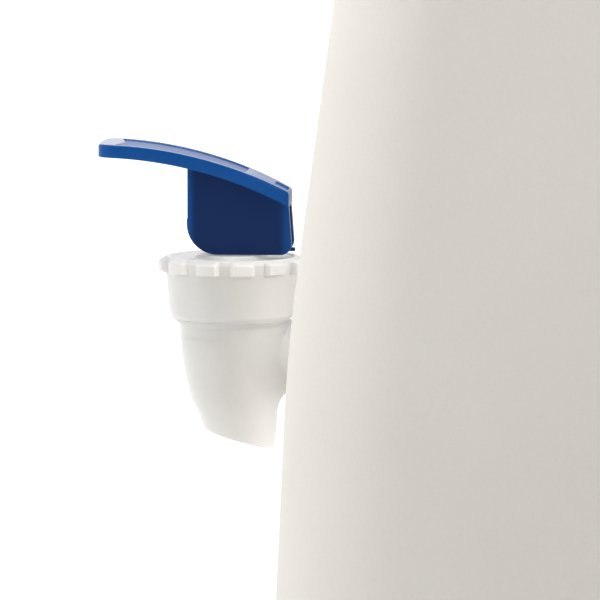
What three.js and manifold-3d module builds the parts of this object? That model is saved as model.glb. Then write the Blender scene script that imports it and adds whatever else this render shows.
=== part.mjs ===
// Countertop gravity dispenser for a bulk liquid: a tapered housing with an inner bottle, a lift-off
// lid with a vent, and a push-lever tap. Millimetres, +Z up, the tap points along -Y, and X = 0 is the
// plane of symmetry. The origin is on the surface it stands on, midway between the lever's tip and the
// housing's rear.
import * as THREE from "three";
import { mergeVertices } from "three/addons/utils/BufferGeometryUtils.js";
import Module from "manifold-3d";

const wasm = await Module();
wasm.setup();

// ---- Driving dimensions -------------------------------------------------------------------------
const GAP = 0.3; // left between pieces that touch

const BASE_HALF = 118.9; // half-width of the housing's walls, carried down to the standing surface
const LOWER_LEAN = THREE.MathUtils.degToRad(2.6); // lean of the walls below the bend
const UPPER_LEAN = THREE.MathUtils.degToRad(7.4); // lean of the walls above it
const BEND_LOW = 118; // the bend between the two leans is an arc between these heights
const BEND_HIGH = 158;
const CORNER_SHARE = 0.29; // corner radius as a share of the half-width
const HOUSING_BOTTOM = 3;
const DECK_TOP = 330;
const DECK_EDGE_RADIUS = 14;
const WALL = 3;

const BOTTLE_INSET = 8; // from the housing's outer face to the bottle's outer face
const BOTTLE_WALL = 2.5;
const BOTTLE_FLOOR = 105.5;
const BOTTLE_SHOULDER = 326.4;
const NECK_RADIUS = 58;
const NECK_WALL = 2.8;
const NECK_TOP = 338;
const NECK_CLEARANCE = 0.6; // around the neck, in the hole in the deck

const PLATE_BOTTOM = 6;
const PLATE_TOP = 9;
const PLATE_HALF = 115;
const COLUMN_OFFSET = 60;
const SCREW_OFFSET = 102;
const FOOT_OFFSET = 80;

const TAP_AXIS_TO_SEAT = 22.3; // from the tap's vertical axis to the flat seat on the housing
const SEAT_FACE = 111.2; // from the housing's axis to that flat seat
const SEAT_RADIUS = 18;
const SEAT_PAD = 4.5; // thickness of the housing behind that seat
const BOTTLE_PAD = 5.6; // thickness of the bottle behind the housing's pad
const SHANK_HEIGHT = 125.4;
const SHANK_RADIUS = 7.8;
const SHANK_BORE = 5.2;
const SHANK_END = 44; // behind the tap's axis
const SHANK_CLEARANCE = 9; // radius of the holes that the shank passes through

const NUT_TOP = 154;
const NUT_BOTTOM = 136.8;
const NUT_RADIUS = 18.9;
const NUT_FOOT_RADIUS = 16.6; // at its lower edge, which the tap body's shoulder carries on
const NUT_SKIRT_RADIUS = 17.4; // above that chamfer
const NUT_SKIRT_BOTTOM = 137.7;
const NUT_SKIRT_TOP = 149.2; // the skirt widens to here, then steps out to the nut's rim
const NUT_WAIST_RADIUS = 18.4;
const NUT_BORE = 15.3;
const NUT_ROOF = 150; // underside of its top
const LUG_COUNT = 12;
const LUG_RADIUS = 20.7;
const LUG_WIDTH = 6.4;
const LUG_BOTTOM = 149.7;
const LUG_PHASE = 13; // degrees from +X to a lug

const STEM_RADIUS = 3;
const CAM_RADIUS = 7.4; // rounded front corner of the lever's block
const CAM_OFFSET = 4.7; // its centre is this far in front of the pivot
const PAD_TOP = NUT_TOP + 0.5; // raised pad on the nut, under the lever
const PIVOT_HEIGHT = PAD_TOP + GAP + CAM_RADIUS;
const LEVER_TIP = 36.8; // in front of the tap's axis
const LEVER_REAR = 17.1; // behind it, low on the block
const LEVER_REAR_TOP = 16.4; // behind it, where the block meets the paddle
const LEVER_REAR_RADIUS = 3; // lower rear corner of the block
const PADDLE_RADIUS = 115.5; // of the arc that the paddle's top follows
const PADDLE_APEX = 31.9; // of that arc, above the nut
const PADDLE_THICKNESS = 3.6;
const CHEEK_HALF = 7; // half-width of the lever's block
const SLOT_HALF = 4; // half-width of the slot between its cheeks

const TAP_REACH = SEAT_FACE + TAP_AXIS_TO_SEAT;
const BODY_Y = (TAP_REACH + LEVER_TIP - BASE_HALF + HOUSING_BOTTOM * Math.tan(LOWER_LEAN)) / 2;
const TAP_Y = BODY_Y - TAP_REACH;

// ---- Materials ----------------------------------------------------------------------------------
const plastic = (color, roughness) => new THREE.MeshStandardMaterial({ color, roughness, metalness: 0 });
const HOUSING_PLASTIC = plastic(0xe2dfda, 0.62);
const BOTTLE_PLASTIC = plastic(0xe9ebe8, 0.4);
const BASE_PLASTIC = plastic(0xd5d2cd, 0.6);
const TAP_PLASTIC = plastic(0xeae8e4, 0.35);
const LEVER_PLASTIC = plastic(0x164a94, 0.28);
const SILICONE = plastic(0xdedcd6, 0.5);
const FOOT_RUBBER = plastic(0x303031, 0.85);
const STEEL = new THREE.MeshStandardMaterial({ color: 0xb9bbbd, roughness: 0.3, metalness: 1 });

// ---- Solids from three.js geometry --------------------------------------------------------------
function solid(geometry) {
  const bare = geometry.index ? geometry.toNonIndexed() : geometry.clone();
  bare.deleteAttribute("normal");
  bare.deleteAttribute("uv");
  const merged = mergeVertices(bare, 1e-4);
  return new wasm.Manifold(
    new wasm.Mesh({
      numProp: 3,
      vertProperties: merged.attributes.position.array,
      triVerts: new Uint32Array(merged.index.array),
    }),
  );
}

function mesh(name, shape, material) {
  const { vertProperties, triVerts } = shape.getMesh();
  const geometry = new THREE.BufferGeometry();
  geometry.setAttribute("position", new THREE.BufferAttribute(vertProperties, 3));
  geometry.setIndex(new THREE.BufferAttribute(triVerts, 1));
  geometry.computeVertexNormals();
  const made = new THREE.Mesh(geometry, material);
  made.name = name;
  return made;
}

// A profile of [radius, height] points turned about +Z. It starts and ends on the axis, or it is a
// ring's closed section, whose first point is then repeated as its last.
function turned(profile, segments) {
  let area = 0;
  profile.forEach(([r, z], i) => {
    const [nextR, nextZ] = profile[(i + 1) % profile.length];
    area += r * nextZ - nextR * z;
  });
  const ordered = area < 0 ? [...profile].reverse() : profile;
  const onAxis = profile[0][0] === 0;
  const points = (onAxis ? ordered : [...ordered, ordered[0]]).map(([r, z]) => new THREE.Vector2(r, z));
  return solid(new THREE.LatheGeometry(points, segments).rotateX(Math.PI / 2));
}

const disc = (radius, low, high, segments) =>
  turned([[0, low], [radius, low], [radius, high], [0, high]], segments);

const ring = (inner, outer, low, high, segments) =>
  turned([[inner, low], [outer, low], [outer, high], [inner, high]], segments);

// The same along +Y, at the height of the tap's shank.
const lieDown = (shape) => shape.rotate([-90, 0, 0]).translate([0, 0, SHANK_HEIGHT]);

function block(low, high) {
  const size = high.map((value, axis) => value - low[axis]);
  const middle = high.map((value, axis) => (value + low[axis]) / 2);
  return solid(new THREE.BoxGeometry(...size).translate(...middle));
}

const arcPoints = (centre, radius, from, to, steps) =>
  Array.from({ length: steps + 1 }, (_, i) => {
    const angle = from + ((to - from) * i) / steps;
    return [centre[0] + radius * Math.cos(angle), centre[1] + radius * Math.sin(angle)];
  });

// ---- The body's walls ---------------------------------------------------------------------------
const BEND_RADIUS = (BEND_HIGH - BEND_LOW) / (Math.sin(UPPER_LEAN) - Math.sin(LOWER_LEAN));

// Half-width of the housing's outer faces at a height.
function halfWidth(z) {
  const low = BASE_HALF - BEND_LOW * Math.tan(LOWER_LEAN);
  if (z <= BEND_LOW) return BASE_HALF - z * Math.tan(LOWER_LEAN);
  const centreX = low - BEND_RADIUS * Math.cos(LOWER_LEAN);
  const centreZ = BEND_LOW - BEND_RADIUS * Math.sin(LOWER_LEAN);
  const onArc = (height) => centreX + Math.sqrt(BEND_RADIUS ** 2 - (height - centreZ) ** 2);
  if (z <= BEND_HIGH) return onArc(z);
  return onArc(BEND_HIGH) - (z - BEND_HIGH) * Math.tan(UPPER_LEAN);
}

// [half-width, height] up a wall set in from the housing's outer face, with rounded ends.
function wallLevels(inset, bottom, top, bottomRadius, topRadius) {
  const bendSteps = 3;
  const roundSteps = 3;
  const levels = [];
  if (bottomRadius) {
    const centreX = halfWidth(bottom + bottomRadius) - inset - bottomRadius;
    levels.push(...arcPoints([centreX, bottom + bottomRadius], bottomRadius, -Math.PI / 2, 0, roundSteps));
  } else {
    levels.push([halfWidth(bottom) - inset, bottom]);
  }
  for (let i = 0; i <= bendSteps; i++) {
    const z = BEND_LOW + ((BEND_HIGH - BEND_LOW) * i) / bendSteps;
    levels.push([halfWidth(z) - inset, z]);
  }
  const centreZ = top - topRadius;
  const centreX = halfWidth(centreZ) - inset - topRadius / Math.cos(UPPER_LEAN);
  levels.push(...arcPoints([centreX, centreZ], topRadius, UPPER_LEAN, Math.PI / 2, roundSteps));
  return levels;
}

// A rounded-square prism whose half-width follows the levels.
function roundedSquare(levels) {
  const straight = 1 - CORNER_SHARE;
  const outline = new THREE.Shape();
  [[1, 1], [-1, 1], [-1, -1], [1, -1]].forEach(([x, y], i) => {
    const start = (i * Math.PI) / 2;
    outline.absarc(x * straight, y * straight, CORNER_SHARE, start, start + Math.PI / 2, false);
  });
  const last = levels.length - 1;
  const prism = new THREE.ExtrudeGeometry(outline, {
    depth: 1,
    steps: last,
    bevelEnabled: false,
    curveSegments: 5,
  });
  const position = prism.getAttribute("position");
  for (let i = 0; i < position.count; i++) {
    const [half, z] = levels[Math.round(position.getZ(i) * last)];
    position.setXYZ(i, position.getX(i) * half, position.getY(i) * half, z);
  }
  return solid(prism);
}

// ---- Body pieces, about the housing's axis ------------------------------------------------------
const CORNERS = [
  ["front_left", -1, -1],
  ["front_right", 1, -1],
  ["rear_left", -1, 1],
  ["rear_right", 1, 1],
];

const boreThrough = (radius, from, to) => lieDown(disc(radius, from, to, 20));

function housing() {
  let shell = roundedSquare(wallLevels(0, HOUSING_BOTTOM, DECK_TOP, 0, DECK_EDGE_RADIUS));
  const insideTop = DECK_TOP - WALL;
  const inside = roundedSquare(wallLevels(WALL, HOUSING_BOTTOM - 2, insideTop, 0, DECK_EDGE_RADIUS - WALL));
  shell = shell.subtract(inside);
  const pad = boreThrough(SEAT_RADIUS + 2, -SEAT_FACE - 1, -SEAT_FACE + SEAT_PAD);
  const recess = boreThrough(SEAT_RADIUS, -SEAT_FACE - 10, -SEAT_FACE);
  shell = shell.add(pad).subtract(recess);
  shell = shell.subtract(boreThrough(SHANK_CLEARANCE, -SEAT_FACE - 10, -SEAT_FACE + 10));
  for (const [, x, y] of CORNERS) {
    const at = [x * SCREW_OFFSET, y * SCREW_OFFSET, 0];
    const boss = disc(6, PLATE_TOP + GAP, 40, 16).translate(at);
    const pilot = disc(2.3, PLATE_TOP - 1, 28, 12).translate(at);
    shell = shell.add(boss).subtract(pilot);
  }
  return shell.subtract(disc(NECK_RADIUS + NECK_CLEARANCE, insideTop - 5, DECK_TOP + 5, 32));
}

function reservoir() {
  const outside = roundedSquare(wallLevels(BOTTLE_INSET, BOTTLE_FLOOR, BOTTLE_SHOULDER, 8, 12));
  const insideTop = BOTTLE_SHOULDER - BOTTLE_WALL;
  const insideInset = BOTTLE_INSET + BOTTLE_WALL;
  const inside = roundedSquare(wallLevels(insideInset, BOTTLE_FLOOR + BOTTLE_WALL, insideTop, 5.5, 9.5));
  const neck = disc(NECK_RADIUS, BOTTLE_SHOULDER - 1, NECK_TOP, 32);
  const neckBore = disc(NECK_RADIUS - NECK_WALL, BOTTLE_SHOULDER - 8, NECK_TOP + 2, 32);
  const padFront = SEAT_FACE - SEAT_PAD - GAP;
  const pad = boreThrough(SEAT_RADIUS, -padFront, -padFront + BOTTLE_PAD);
  const hole = boreThrough(SHANK_CLEARANCE, -padFront - 5, -padFront + 12);
  return outside.add(neck).subtract(inside).add(pad).subtract(neckBore).subtract(hole);
}

function basePlate() {
  let plate = roundedSquare([[PLATE_HALF, PLATE_BOTTOM], [PLATE_HALF, PLATE_TOP]]);
  for (const [, x, y] of CORNERS) {
    const columnAt = [x * COLUMN_OFFSET, y * COLUMN_OFFSET, 0];
    plate = plate.add(disc(12, PLATE_TOP - 1, BOTTLE_FLOOR - GAP, 20).translate(columnAt));
    plate = plate.subtract(disc(9.5, PLATE_TOP, BOTTLE_FLOOR + 1, 20).translate(columnAt));
    const screwAt = [x * SCREW_OFFSET, y * SCREW_OFFSET, 0];
    plate = plate.subtract(disc(2.3, PLATE_BOTTOM - 1, PLATE_TOP + 1, 12).translate(screwAt));
  }
  return plate;
}

const FOOT_TOP = PLATE_BOTTOM - GAP;

const foot = () => turned([[0, 0], [9.5, 0], [11, 1.5], [11, FOOT_TOP], [0, FOOT_TOP]], 16);

const baseScrew = () =>
  turned([[0, 3.3], [3.3, 3.3], [4, 4], [4, FOOT_TOP], [2, FOOT_TOP], [2, 23], [0, 25]], 10);

const COLLAR_RADIUS = 66;
const COLLAR_BORE = NECK_RADIUS + 0.4;
const COLLAR_BOTTOM = DECK_TOP + GAP;
const COLLAR_TOP = COLLAR_BOTTOM + 4.5;

const neckCollar = () =>
  turned(
    [[COLLAR_BORE, COLLAR_BOTTOM], [COLLAR_RADIUS, COLLAR_BOTTOM], [COLLAR_RADIUS, COLLAR_TOP - 1.2]]
      .concat([[COLLAR_RADIUS - 1.2, COLLAR_TOP], [COLLAR_BORE, COLLAR_TOP]]),
    32,
  );

// Lid: a shallow dome with an outer lip, and a skirt that hangs inside the neck.
const LID_CENTRE_TOP = 347;
const LID_UNDERSIDE = 341; // at the skirt; the ceiling rises from here to the knob's screw
const LID_CEILING_TOP = 343;
const LID_SEAT = 340.3; // rests on the gasket
const LID_LIP_BOTTOM = 335.4;
const LID_RADIUS = 62;
const LID_SKIRT_RADIUS = 54;
const LID_SKIRT_BOTTOM = 330;
const SCREW_HOLE = 2.4;
const VENT_BEHIND_AXIS = 34;
const VENT_BOSS_TOP = 348;

function lid() {
  const edge = arcPoints([LID_RADIUS - 2, 341.4], 2, 0, Math.PI / 2, 2);
  const profile = [
    [SCREW_HOLE, LID_CENTRE_TOP],
    [SCREW_HOLE, LID_CEILING_TOP],
    [LID_SKIRT_RADIUS - 2.5, LID_UNDERSIDE],
    [LID_SKIRT_RADIUS - 2.5, LID_SKIRT_BOTTOM],
    [LID_SKIRT_RADIUS, LID_SKIRT_BOTTOM],
    [LID_SKIRT_RADIUS, LID_SEAT],
    [LID_RADIUS - 3, LID_SEAT],
    [LID_RADIUS - 3, LID_LIP_BOTTOM],
    [LID_RADIUS, LID_LIP_BOTTOM],
    ...edge,
    [32, 345.9],
  ];
  const ventAt = [0, VENT_BEHIND_AXIS, 0];
  const boss = disc(8.5, 342.5, VENT_BOSS_TOP, 20).translate(ventAt);
  const hole = disc(3.3, 335, VENT_BOSS_TOP + 2, 16).translate(ventAt);
  return turned(profile, 32).add(boss).subtract(hole);
}

const lidGasket = () => ring(LID_SKIRT_RADIUS + 0.4, NECK_RADIUS, NECK_TOP + GAP, LID_SEAT - GAP, 32);

const KNOB_BOTTOM = LID_CENTRE_TOP + GAP;

const lidKnob = () =>
  turned(
    [[0, 359], [2.3, 359], [2.3, KNOB_BOTTOM], [9.5, KNOB_BOTTOM], [8.2, 350], [8, 354]]
      .concat([[10.5, 357.5], [14.5, 360], [16, 363], [15.4, 366], [12, 368.2], [0, 369]]),
    24,
  );

const knobScrew = () => turned([[0, 340.3], [4, 340.3], [4, 342.7], [2, 342.7], [2, 356], [0, 357.5]], 12);

const ventPlug = () => {
  const headBottom = VENT_BOSS_TOP + GAP;
  return turned(
    [[0, 338], [2.2, 338], [2.9, 339], [2.9, headBottom], [6, headBottom], [6.8, headBottom + 1]]
      .concat([[6.8, headBottom + 3], [5.6, headBottom + 4.2], [0, headBottom + 4.2]]),
    20,
  );
};

// ---- Tap pieces, about the tap's vertical axis --------------------------------------------------
const SHOULDER_HEIGHT = 134.5;
const SHOULDER_RADIUS = 14.5;
const SHOULDER_TOP = NUT_BOTTOM - GAP;
const BARREL_RADIUS = 15;
const VALVE_SEAT_TOP = 118.5;
const CHAMBER_FLOOR = 117;
const OUTLET_BOTTOM = 109; // the hole in the valve seat runs down to here, into the spout's bore
const CHAMBER_RADIUS = 10.6;
const BARREL_TOP = 144.7;
const FLANGE_FRONT = 17.6; // behind the tap's axis
const ARM_RADIUS = 9.5; // of the arm from the barrel to the flange
const ARM_RISE = 1; // of its axis above the shank's

// The spout's front and rear edges in the plane of symmetry: [distance along Y, height].
const SPOUT_FRONT = new THREE.SplineCurve(
  [[-14.5, 134], [-14.1, 127], [-12.2, 116.5], [-9.7, 110], [-7.8, 105.4]].map((p) => new THREE.Vector2(...p)),
);
const SPOUT_REAR = new THREE.SplineCurve(
  [[14.5, 134], [14, 126.5], [13.2, 115.5], [12.6, 107], [11.9, 100]].map((p) => new THREE.Vector2(...p)),
);

// Rings between the two edges, from share a to share b of the way down, set in by a wall.
function spoutSolid(inset, a, b) {
  const steps = 7;
  const tube = new THREE.CylinderGeometry(1, 1, steps, 28, steps).rotateX(Math.PI / 2);
  const position = tube.getAttribute("position");
  for (let i = 0; i < position.count; i++) {
    const level = Math.round(steps / 2 - position.getZ(i));
    const share = a + ((b - a) * level) / steps;
    const front = SPOUT_FRONT.getPoint(share);
    const rear = SPOUT_REAR.getPoint(share);
    const span = rear.x - front.x;
    const along = 0.5 + position.getY(i) * (0.5 - inset / span);
    const across = position.getX(i) * (span / 2 - inset);
    position.setXYZ(i, across, front.x + span * along, front.y + (rear.y - front.y) * along);
  }
  return solid(tube);
}

function tapBody() {
  const barrel = turned(
    [[0, SHOULDER_HEIGHT - 1], [SHOULDER_RADIUS, SHOULDER_HEIGHT - 1], [SHOULDER_RADIUS, SHOULDER_HEIGHT]]
      .concat([[NUT_FOOT_RADIUS - 0.1, SHOULDER_TOP], [BARREL_RADIUS, SHOULDER_TOP]])
      .concat([[BARREL_RADIUS, BARREL_TOP], [0, BARREL_TOP]]),
    28,
  );
  const shank = lieDown(disc(SHANK_RADIUS, 2, SHANK_END, 24));
  const flange = lieDown(disc(12, FLANGE_FRONT, FLANGE_FRONT + 2.4, 24));
  const arm = lieDown(disc(ARM_RADIUS, 2, FLANGE_FRONT + 1, 24)).translate([0, 0, ARM_RISE]);
  const chamber = turned(
    [[0, OUTLET_BOTTOM], [6, OUTLET_BOTTOM], [6, VALVE_SEAT_TOP], [7.2, VALVE_SEAT_TOP]]
      .concat([[7.4, CHAMBER_FLOOR], [CHAMBER_RADIUS, CHAMBER_FLOOR], [CHAMBER_RADIUS, 150], [0, 150]]),
    24,
  );
  const inlet = lieDown(disc(SHANK_BORE, 6, SHANK_END + 2, 20));
  return spoutSolid(0, 0, 1)
    .add(barrel)
    .add(shank)
    .add(arm)
    .add(flange)
    .subtract(spoutSolid(1.8, 0.62, 1.04))
    .subtract(chamber)
    .subtract(inlet);
}

function bonnetNut() {
  const profile = [
    [3.5, PAD_TOP],
    [3.5, NUT_ROOF],
    [NUT_BORE, NUT_ROOF],
    [NUT_BORE, NUT_BOTTOM],
    [NUT_FOOT_RADIUS, NUT_BOTTOM],
    [NUT_SKIRT_RADIUS, NUT_SKIRT_BOTTOM],
    [NUT_WAIST_RADIUS, NUT_SKIRT_TOP],
    [NUT_RADIUS, NUT_SKIRT_TOP + 1],
    [NUT_RADIUS, NUT_TOP - 0.4],
    [NUT_RADIUS - 0.4, NUT_TOP],
    [NUT_RADIUS - 1.5, NUT_TOP],
    [NUT_RADIUS - 1.9, NUT_TOP - 0.5],
    [10.6, NUT_TOP - 0.5],
    [9.6, PAD_TOP],
  ];
  let nut = turned(profile, 36);
  const lug = block([16, -LUG_WIDTH / 2, LUG_BOTTOM], [LUG_RADIUS, LUG_WIDTH / 2, NUT_TOP - 0.1]);
  for (let i = 0; i < LUG_COUNT; i++) {
    nut = nut.add(lug.rotate([0, 0, LUG_PHASE + (i * 360) / LUG_COUNT]));
  }
  return nut;
}

const stemGuide = () => ring(3.4, 14.9, 147, 149.7, 24);

// Silicone cup: a rim under the guide, a thin wall down into the chamber, and a thick closed end.
const seatCup = () =>
  turned(
    [[0, 118.8], [8.4, 118.8], [8.4, 122.6], [7.4, 126], [10.2, 134], [10.2, 145], [14.6, 145]]
      .concat([[14.6, 146.7], [9.1, 146.7], [9.1, 134.6], [6, 127], [3.4, 126.2], [3.4, 125.2]])
      .concat([[4.8, 124.6], [4.8, 121.3], [0, 121.3]]),
    20,
  );

const SPRING_LOW = 133.7;
const SPRING_HIGH = 146.7;

class Helix extends THREE.Curve {
  constructor(radius, turns, low, high) {
    super();
    Object.assign(this, { radius, turns, low, high });
  }
  getPoint(share, target = new THREE.Vector3()) {
    const angle = share * this.turns * 2 * Math.PI;
    const height = this.low + (this.high - this.low) * share;
    return target.set(this.radius * Math.cos(angle), this.radius * Math.sin(angle), height);
  }
}

function stemSpring() {
  const wire = 0.55;
  const turns = 5;
  const path = new Helix(6, turns, SPRING_LOW + wire, SPRING_HIGH - wire);
  const section = new THREE.Shape().absarc(0, 0, wire, 0, 2 * Math.PI);
  return solid(new THREE.ExtrudeGeometry(section, { steps: turns * 9, extrudePath: path, curveSegments: 3 }));
}

function valveStem() {
  const shaft = turned(
    [[0, 121.7], [3.6, 121.7], [4.4, 122.6], [4.4, 123.8], [STEM_RADIUS, 125]]
      .concat([[STEM_RADIUS, 131.8], [7.2, 131.8], [7.2, 133.4], [STEM_RADIUS, 133.4]])
      .concat([[STEM_RADIUS, PIVOT_HEIGHT - 1], [0, PIVOT_HEIGHT - 1]]),
    16,
  );
  const across = (radius, half) =>
    disc(radius, -half, half, 20).rotate([0, 90, 0]).translate([0, 0, PIVOT_HEIGHT]);
  return shaft.add(across(4.6, SLOT_HALF - 0.4)).subtract(across(1.8, 10));
}

// The lever's side view is drawn as (distance along Y, height) and pushed out along X.
function acrossX(outline, half, curveSegments) {
  const depth = 2 * half;
  const pushed = new THREE.ExtrudeGeometry(outline, { depth, bevelEnabled: false, curveSegments });
  pushed.applyMatrix4(
    new THREE.Matrix4().makeBasis(
      new THREE.Vector3(0, 1, 0),
      new THREE.Vector3(0, 0, 1),
      new THREE.Vector3(1, 0, 0),
    ),
  );
  return solid(pushed.translate(-half, 0, 0));
}

const PADDLE_CENTRE = [-LEVER_TIP - 1, NUT_TOP + PADDLE_APEX - PADDLE_RADIUS];
const paddleAngle = (y, radius) => Math.acos((y - PADDLE_CENTRE[0]) / radius);

// A strip under the paddle's arc between two depths, from the tip to the rear.
function paddleStrip(depthTop, depthBottom, front, rear, half) {
  const outer = PADDLE_RADIUS - depthTop;
  const inner = PADDLE_RADIUS - depthBottom;
  const outline = new THREE.Shape();
  outline.absarc(...PADDLE_CENTRE, outer, paddleAngle(rear, outer), paddleAngle(front, outer), false);
  outline.absarc(...PADDLE_CENTRE, inner, paddleAngle(front, inner), paddleAngle(rear, inner), true);
  return acrossX(outline, half, 14);
}

// The paddle from above, set in by a rim: wide at the tip and narrower towards the rear.
function paddlePlan(inset, front, rear) {
  const tipHalf = 14 - inset;
  const rearHalf = 8 - inset;
  const round = 4;
  const plan = new THREE.Shape();
  plan.moveTo(-rearHalf, rear);
  plan.quadraticCurveTo(-12.8 + inset, -8, -tipHalf, front + round + 1);
  plan.quadraticCurveTo(-tipHalf, front + 1, -tipHalf + round, front + 0.7);
  plan.quadraticCurveTo(0, front - 0.7, tipHalf - round, front + 0.7);
  plan.quadraticCurveTo(tipHalf, front + 1, tipHalf, front + round + 1);
  plan.quadraticCurveTo(12.8 - inset, -8, rearHalf, rear);
  plan.closePath();
  const pushed = new THREE.ExtrudeGeometry(plan, { depth: 80, bevelEnabled: false, curveSegments: 6 });
  return solid(pushed.translate(0, 0, NUT_TOP - 20));
}

function lever() {
  const wide = 20;
  const paddle = paddleStrip(0, PADDLE_THICKNESS, -LEVER_TIP - 2, LEVER_REAR_TOP, wide)
    .intersect(paddlePlan(0, -LEVER_TIP, LEVER_REAR + 1));
  const dish = paddleStrip(-2, 0.8, -LEVER_TIP - 2, 14, wide)
    .intersect(paddlePlan(2.2, -LEVER_TIP + 5, 4.5));
  const bottom = PIVOT_HEIGHT - CAM_RADIUS;
  const webFront = -CAM_OFFSET - CAM_RADIUS;
  const web = new THREE.Shape();
  web.absarc(-CAM_OFFSET, PIVOT_HEIGHT, CAM_RADIUS, Math.PI, 1.5 * Math.PI, false);
  const rearRadius = LEVER_REAR_RADIUS;
  web.absarc(LEVER_REAR - rearRadius, bottom + rearRadius, rearRadius, -Math.PI / 2, 0, false);
  const topRadius = PADDLE_RADIUS - PADDLE_THICKNESS / 2;
  const angles = [LEVER_REAR_TOP, webFront].map((y) => paddleAngle(y, topRadius));
  web.absarc(...PADDLE_CENTRE, topRadius, ...angles, false);
  const slotRoof = 168;
  const slot = block([-SLOT_HALF, webFront + 3, bottom - 5], [SLOT_HALF, LEVER_REAR + 5, slotRoof]);
  const sockets = disc(1.8, -5.8, 5.8, 16).rotate([0, 90, 0]).translate([0, 0, PIVOT_HEIGHT]);
  return paddle.add(acrossX(web, CHEEK_HALF, 10)).subtract(dish).subtract(slot).subtract(sockets);
}

const leverPin = () => disc(1.5, -5.5, 5.5, 12).rotate([0, 90, 0]).translate([0, 0, PIVOT_HEIGHT]);

const flangeBack = FLANGE_FRONT + 2.4;
const outerGasket = () => lieDown(ring(8.1, 12.5, flangeBack + GAP, TAP_AXIS_TO_SEAT - GAP, 28));

const INNER_SEAT = TAP_AXIS_TO_SEAT + SEAT_PAD + GAP + BOTTLE_PAD; // inner face of the reservoir's pad
const innerGasket = () => lieDown(ring(8.1, 13, INNER_SEAT + GAP, INNER_SEAT + 1.9, 28));

function lockNut() {
  const low = INNER_SEAT + 2.2;
  const hexagon = solid(new THREE.CylinderGeometry(14.5, 14.5, 6, 6).rotateX(Math.PI / 2));
  return lieDown(hexagon.translate([0, 0, low + 3]).subtract(disc(8.1, low - 1, low + 7, 28)));
}

// ---- Assembly -----------------------------------------------------------------------------------
const body = new THREE.Group();
body.position.y = BODY_Y;
body.add(
  mesh("housing", housing(), HOUSING_PLASTIC),
  mesh("reservoir", reservoir(), BOTTLE_PLASTIC),
  mesh("base_plate", basePlate(), BASE_PLASTIC),
  mesh("neck_collar", neckCollar(), HOUSING_PLASTIC),
  mesh("lid", lid(), HOUSING_PLASTIC),
  mesh("lid_gasket", lidGasket(), SILICONE),
  mesh("lid_knob", lidKnob(), HOUSING_PLASTIC),
  mesh("knob_screw", knobScrew(), STEEL),
);
const vent = mesh("vent_plug", ventPlug(), TAP_PLASTIC);
vent.position.y = VENT_BEHIND_AXIS;
body.add(vent);
for (const [corner, x, y] of CORNERS) {
  const footMesh = mesh("foot_" + corner, foot(), FOOT_RUBBER);
  footMesh.position.set(x * FOOT_OFFSET, y * FOOT_OFFSET, 0);
  const screwMesh = mesh("base_screw_" + corner, baseScrew(), STEEL);
  screwMesh.position.set(x * SCREW_OFFSET, y * SCREW_OFFSET, 0);
  body.add(footMesh, screwMesh);
}

const tap = new THREE.Group();
tap.position.y = TAP_Y;
tap.add(
  mesh("tap_body", tapBody(), TAP_PLASTIC),
  mesh("bonnet_nut", bonnetNut(), TAP_PLASTIC),
  mesh("stem_guide", stemGuide(), TAP_PLASTIC),
  mesh("seat_cup", seatCup(), SILICONE),
  mesh("stem_spring", stemSpring(), STEEL),
  mesh("valve_stem", valveStem(), TAP_PLASTIC),
  mesh("lever", lever(), LEVER_PLASTIC),
  mesh("lever_pin", leverPin(), TAP_PLASTIC),
  mesh("outer_gasket", outerGasket(), SILICONE),
  mesh("inner_gasket", innerGasket(), SILICONE),
  mesh("lock_nut", lockNut(), TAP_PLASTIC),
);

const dispenser = new THREE.Group();
dispenser.add(body, tap);
export default dispenser;
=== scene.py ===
import math

import bmesh
import bpy
import numpy as np
from mathutils import Matrix, Vector


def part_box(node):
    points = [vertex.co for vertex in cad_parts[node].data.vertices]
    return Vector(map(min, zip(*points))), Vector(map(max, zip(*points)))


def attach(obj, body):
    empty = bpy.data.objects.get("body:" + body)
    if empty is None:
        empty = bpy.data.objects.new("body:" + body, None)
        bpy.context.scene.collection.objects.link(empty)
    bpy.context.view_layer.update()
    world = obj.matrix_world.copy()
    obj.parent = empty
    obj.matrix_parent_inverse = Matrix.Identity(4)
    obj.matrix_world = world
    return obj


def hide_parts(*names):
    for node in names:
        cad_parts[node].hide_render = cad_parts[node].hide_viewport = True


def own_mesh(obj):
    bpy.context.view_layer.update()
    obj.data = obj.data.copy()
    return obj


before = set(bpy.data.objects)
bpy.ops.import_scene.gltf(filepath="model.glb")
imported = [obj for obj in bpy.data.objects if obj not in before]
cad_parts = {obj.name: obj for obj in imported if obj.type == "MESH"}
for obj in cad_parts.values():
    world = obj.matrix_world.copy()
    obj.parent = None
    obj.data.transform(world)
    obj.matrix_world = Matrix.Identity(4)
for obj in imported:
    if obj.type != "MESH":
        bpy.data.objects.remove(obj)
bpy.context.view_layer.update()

MM = 0.001


def box_mm(node):
    low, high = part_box(node)
    return np.array(low) / MM, np.array(high) / MM


def heights(node):
    """A CAD node's lowest and highest points."""
    return [corner[2] for corner in box_mm(node)]


# ---- Places, from the frame ----
HOUSING_LOW, HOUSING_HIGH = box_mm("housing")
BODY_Y = (HOUSING_LOW[1] + HOUSING_HIGH[1]) / 2
STEM_LOW, STEM_HIGH = box_mm("valve_stem")
TAP_Y = (STEM_LOW[1] + STEM_HIGH[1]) / 2
NUT_BOTTOM, PAD_TOP = heights("bonnet_nut")
NUT_TOP = PAD_TOP - 0.5
DECK_TOP = HOUSING_HIGH[2]
HOUSING_BOTTOM = HOUSING_LOW[2]
BOTTLE_FLOOR, NECK_TOP = heights("reservoir")
EYE_RADIUS = 4.6
PIVOT_HEIGHT = STEM_HIGH[2] - EYE_RADIUS

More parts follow.
